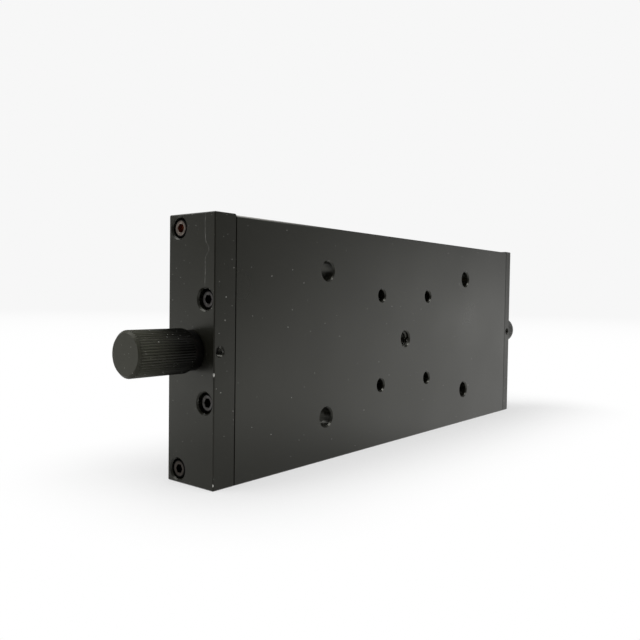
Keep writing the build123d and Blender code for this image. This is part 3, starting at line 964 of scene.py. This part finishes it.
stage_middle = (11 * mm, 14 * mm, 0)
stage_half = (101 * mm, 14 * mm, 50 * mm)
shadow_reach = 60 * mm
glow_at_stage = 0.55
knob_end_middle = (-95 * mm, 14 * mm, 0)
knob_end_half = (30 * mm, 14 * mm, 50 * mm)
dimmed_reach = 120 * mm
dimmed_level = 0.5
lit_side = (0.6, 0.8, 0.0)
deepest_shade = -0.5
dimming_starts = 0.5
dimming_ends = 2.5
bright_wall = 0.93
card, card_tree = new_material("white_card")
card_place = add_node(card_tree, "ShaderNodeTexCoord", {}, {}).outputs["Object"]
from_stage = beyond_box(card_tree, card_place, stage_middle, stage_half)
fade = add_node(
    card_tree, "ShaderNodeMapRange", {"interpolation_type": "SMOOTHSTEP"},
    {"Value": from_stage, "From Max": shadow_reach, "To Min": glow_at_stage},
)
rays = add_node(card_tree, "ShaderNodeLightPath", {}, {})
seen = add_node(
    card_tree, "ShaderNodeMath", {"operation": "MAXIMUM"},
    {0: rays.outputs["Is Camera Ray"], 1: rays.outputs["Is Transmission Ray"]},
)
seen_share = add_node(
    card_tree, "ShaderNodeMath", {"operation": "MULTIPLY"},
    {0: seen.outputs["Value"], 1: fade.outputs["Result"]},
)
glow_share = add_node(
    card_tree, "ShaderNodeMath", {"operation": "MAXIMUM"},
    {0: seen_share.outputs["Value"], 1: rays.outputs["Is Glossy Ray"]},
)
from_knob_end = beyond_box(card_tree, card_place, knob_end_middle, knob_end_half)
mirrored_rise = add_node(
    card_tree, "ShaderNodeMapRange", {"interpolation_type": "SMOOTHSTEP"},
    {"Value": from_knob_end, "From Max": dimmed_reach, "To Min": dimmed_level},
)
ahead = add_node(
    card_tree, "ShaderNodeVectorMath", {"operation": "DOT_PRODUCT"}, {0: card_place, 1: lit_side}
)
unshaded = add_node(
    card_tree, "ShaderNodeMapRange", {"interpolation_type": "SMOOTHSTEP"},
    {"Value": ahead.outputs["Value"], "From Min": deepest_shade, "From Max": 0.0},
)
mirrored_level = add_node(
    card_tree, "ShaderNodeMath", {"operation": "MULTIPLY"},
    {0: mirrored_rise.outputs["Result"], 1: unshaded.outputs["Result"]},
)
distance = add_node(card_tree, "ShaderNodeVectorMath", {"operation": "LENGTH"}, {0: card_place})
seen_level = add_node(
    card_tree, "ShaderNodeMapRange", {"interpolation_type": "SMOOTHSTEP"},
    {
        "Value": distance.outputs["Value"], "From Min": dimming_starts, "From Max": dimming_ends,
        "To Min": 1.0, "To Max": bright_wall,
    },
)
glow_level = add_node(
    card_tree, "ShaderNodeMix", {"data_type": "FLOAT"},
    {0: rays.outputs["Is Glossy Ray"], 2: seen_level.outputs["Result"], 3: mirrored_level.outputs["Value"]},
)
glow = add_node(
    card_tree, "ShaderNodeEmission", {},
    {"Color": (1, 1, 1, 1), "Strength": glow_level.outputs[0]},
)
paper = add_node(
    card_tree, "ShaderNodeBsdfDiffuse", {}, {"Color": linear("#c6c6c6"), "Roughness": 0.5}
)
lit_card = add_node(
    card_tree, "ShaderNodeMixShader", {},
    {0: glow_share.outputs["Value"], 1: paper.outputs["BSDF"], 2: glow.outputs["Emission"]},
)
card_tree.links.new(lit_card.outputs["Shader"], card_tree.nodes["Material Output"].inputs["Surface"])
floor_data.materials.append(card)


# Light: a bright wall behind the white card and a dim room elsewhere. Soft boxes hang above, in front,
# behind and to the left, and a weak one at the right lights the rims of the holes. Shiny faces show
# only the boxes that are mirrored.
dim_room = 0.16
mirrored_room = 0.25
world = bpy.data.worlds.new("pale_room")
bpy.context.scene.world = world
world.use_nodes = True
room = world.node_tree
room.nodes.clear()
room_rays = add_node(room, "ShaderNodeLightPath", {}, {})
room_way = add_node(room, "ShaderNodeTexCoord", {}, {}).outputs["Generated"]
room_ahead = add_node(
    room, "ShaderNodeVectorMath", {"operation": "DOT_PRODUCT"}, {0: room_way, 1: lit_side}
)
room_unshaded = add_node(
    room, "ShaderNodeMapRange", {"interpolation_type": "SMOOTHSTEP"},
    {
        "Value": room_ahead.outputs["Value"], "From Min": -0.8, "From Max": 0.1,
        "To Max": mirrored_room,
    },
)
room_axes = add_node(room, "ShaderNodeSeparateXYZ", {}, {"Vector": room_way})
room_low = add_node(
    room, "ShaderNodeMapRange", {"interpolation_type": "SMOOTHSTEP"},
    {"Value": room_axes.outputs["Z"], "From Min": 0.8, "From Max": 0.25},
)
room_mirrored = add_node(
    room, "ShaderNodeMath", {"operation": "MULTIPLY"},
    {0: room_unshaded.outputs["Result"], 1: room_low.outputs["Result"]},
)
room_glossy = add_node(
    room, "ShaderNodeMath", {"operation": "MULTIPLY"},
    {0: room_rays.outputs["Is Glossy Ray"], 1: room_mirrored.outputs["Value"]},
)
room_seen = add_node(
    room, "ShaderNodeMath", {"operation": "MAXIMUM"},
    {0: room_rays.outputs["Is Camera Ray"], 1: room_glossy.outputs["Value"]},
)
room_through = add_node(
    room, "ShaderNodeMath", {"operation": "MAXIMUM"},
    {0: room_seen.outputs["Value"], 1: room_rays.outputs["Is Transmission Ray"]},
)
room_level = add_node(
    room, "ShaderNodeMapRange", {},
    {"Value": room_through.outputs["Value"], "To Min": dim_room, "To Max": bright_wall},
)
room_light = add_node(
    room, "ShaderNodeBackground", {},
    {"Color": (1.0, 1.0, 1.0, 1.0), "Strength": room_level.outputs["Result"]},
)
add_node(room, "ShaderNodeOutputWorld", {}, {"Surface": room_light.outputs["Background"]})

for name, place, target, width, height, power, mirrored in (
    ("overhead_box", (0.0, 0.0, 1.0), (0, 0, 0), 1.0, 1.0, 11.0, False),
    ("front_top_box", (0.05, -0.65, 0.78), (0, 0, 0), 0.35, 0.35, 2.4, True),
    ("back_top_box", (-0.4, 0.42, 0.8), (-0.1, 0, 0), 1.0, 0.4, 3.0, True),
    ("left_back_box", (-0.75, 0.6, 0.35), (0, 0, 0), 0.8, 0.8, 5.5, False),
    ("right_box", (0.62, -0.34, 0.03), (0, 0, 0.03), 0.3, 0.14, 0.07, True),
):
    lamp = bpy.data.lights.new(name, "AREA")
    lamp.shape = "RECTANGLE"
    lamp.size = width
    lamp.size_y = height
    lamp.energy = power
    box = bpy.data.objects.new(name, lamp)
    box.location = Vector(place)
    box.rotation_mode = "QUATERNION"
    box.rotation_quaternion = (Vector(target) - Vector(place)).to_track_quat("-Z", "Y")
    box.visible_glossy = mirrored
    bpy.context.scene.collection.objects.link(box)

bpy.context.scene.view_settings.view_transform = "Standard"
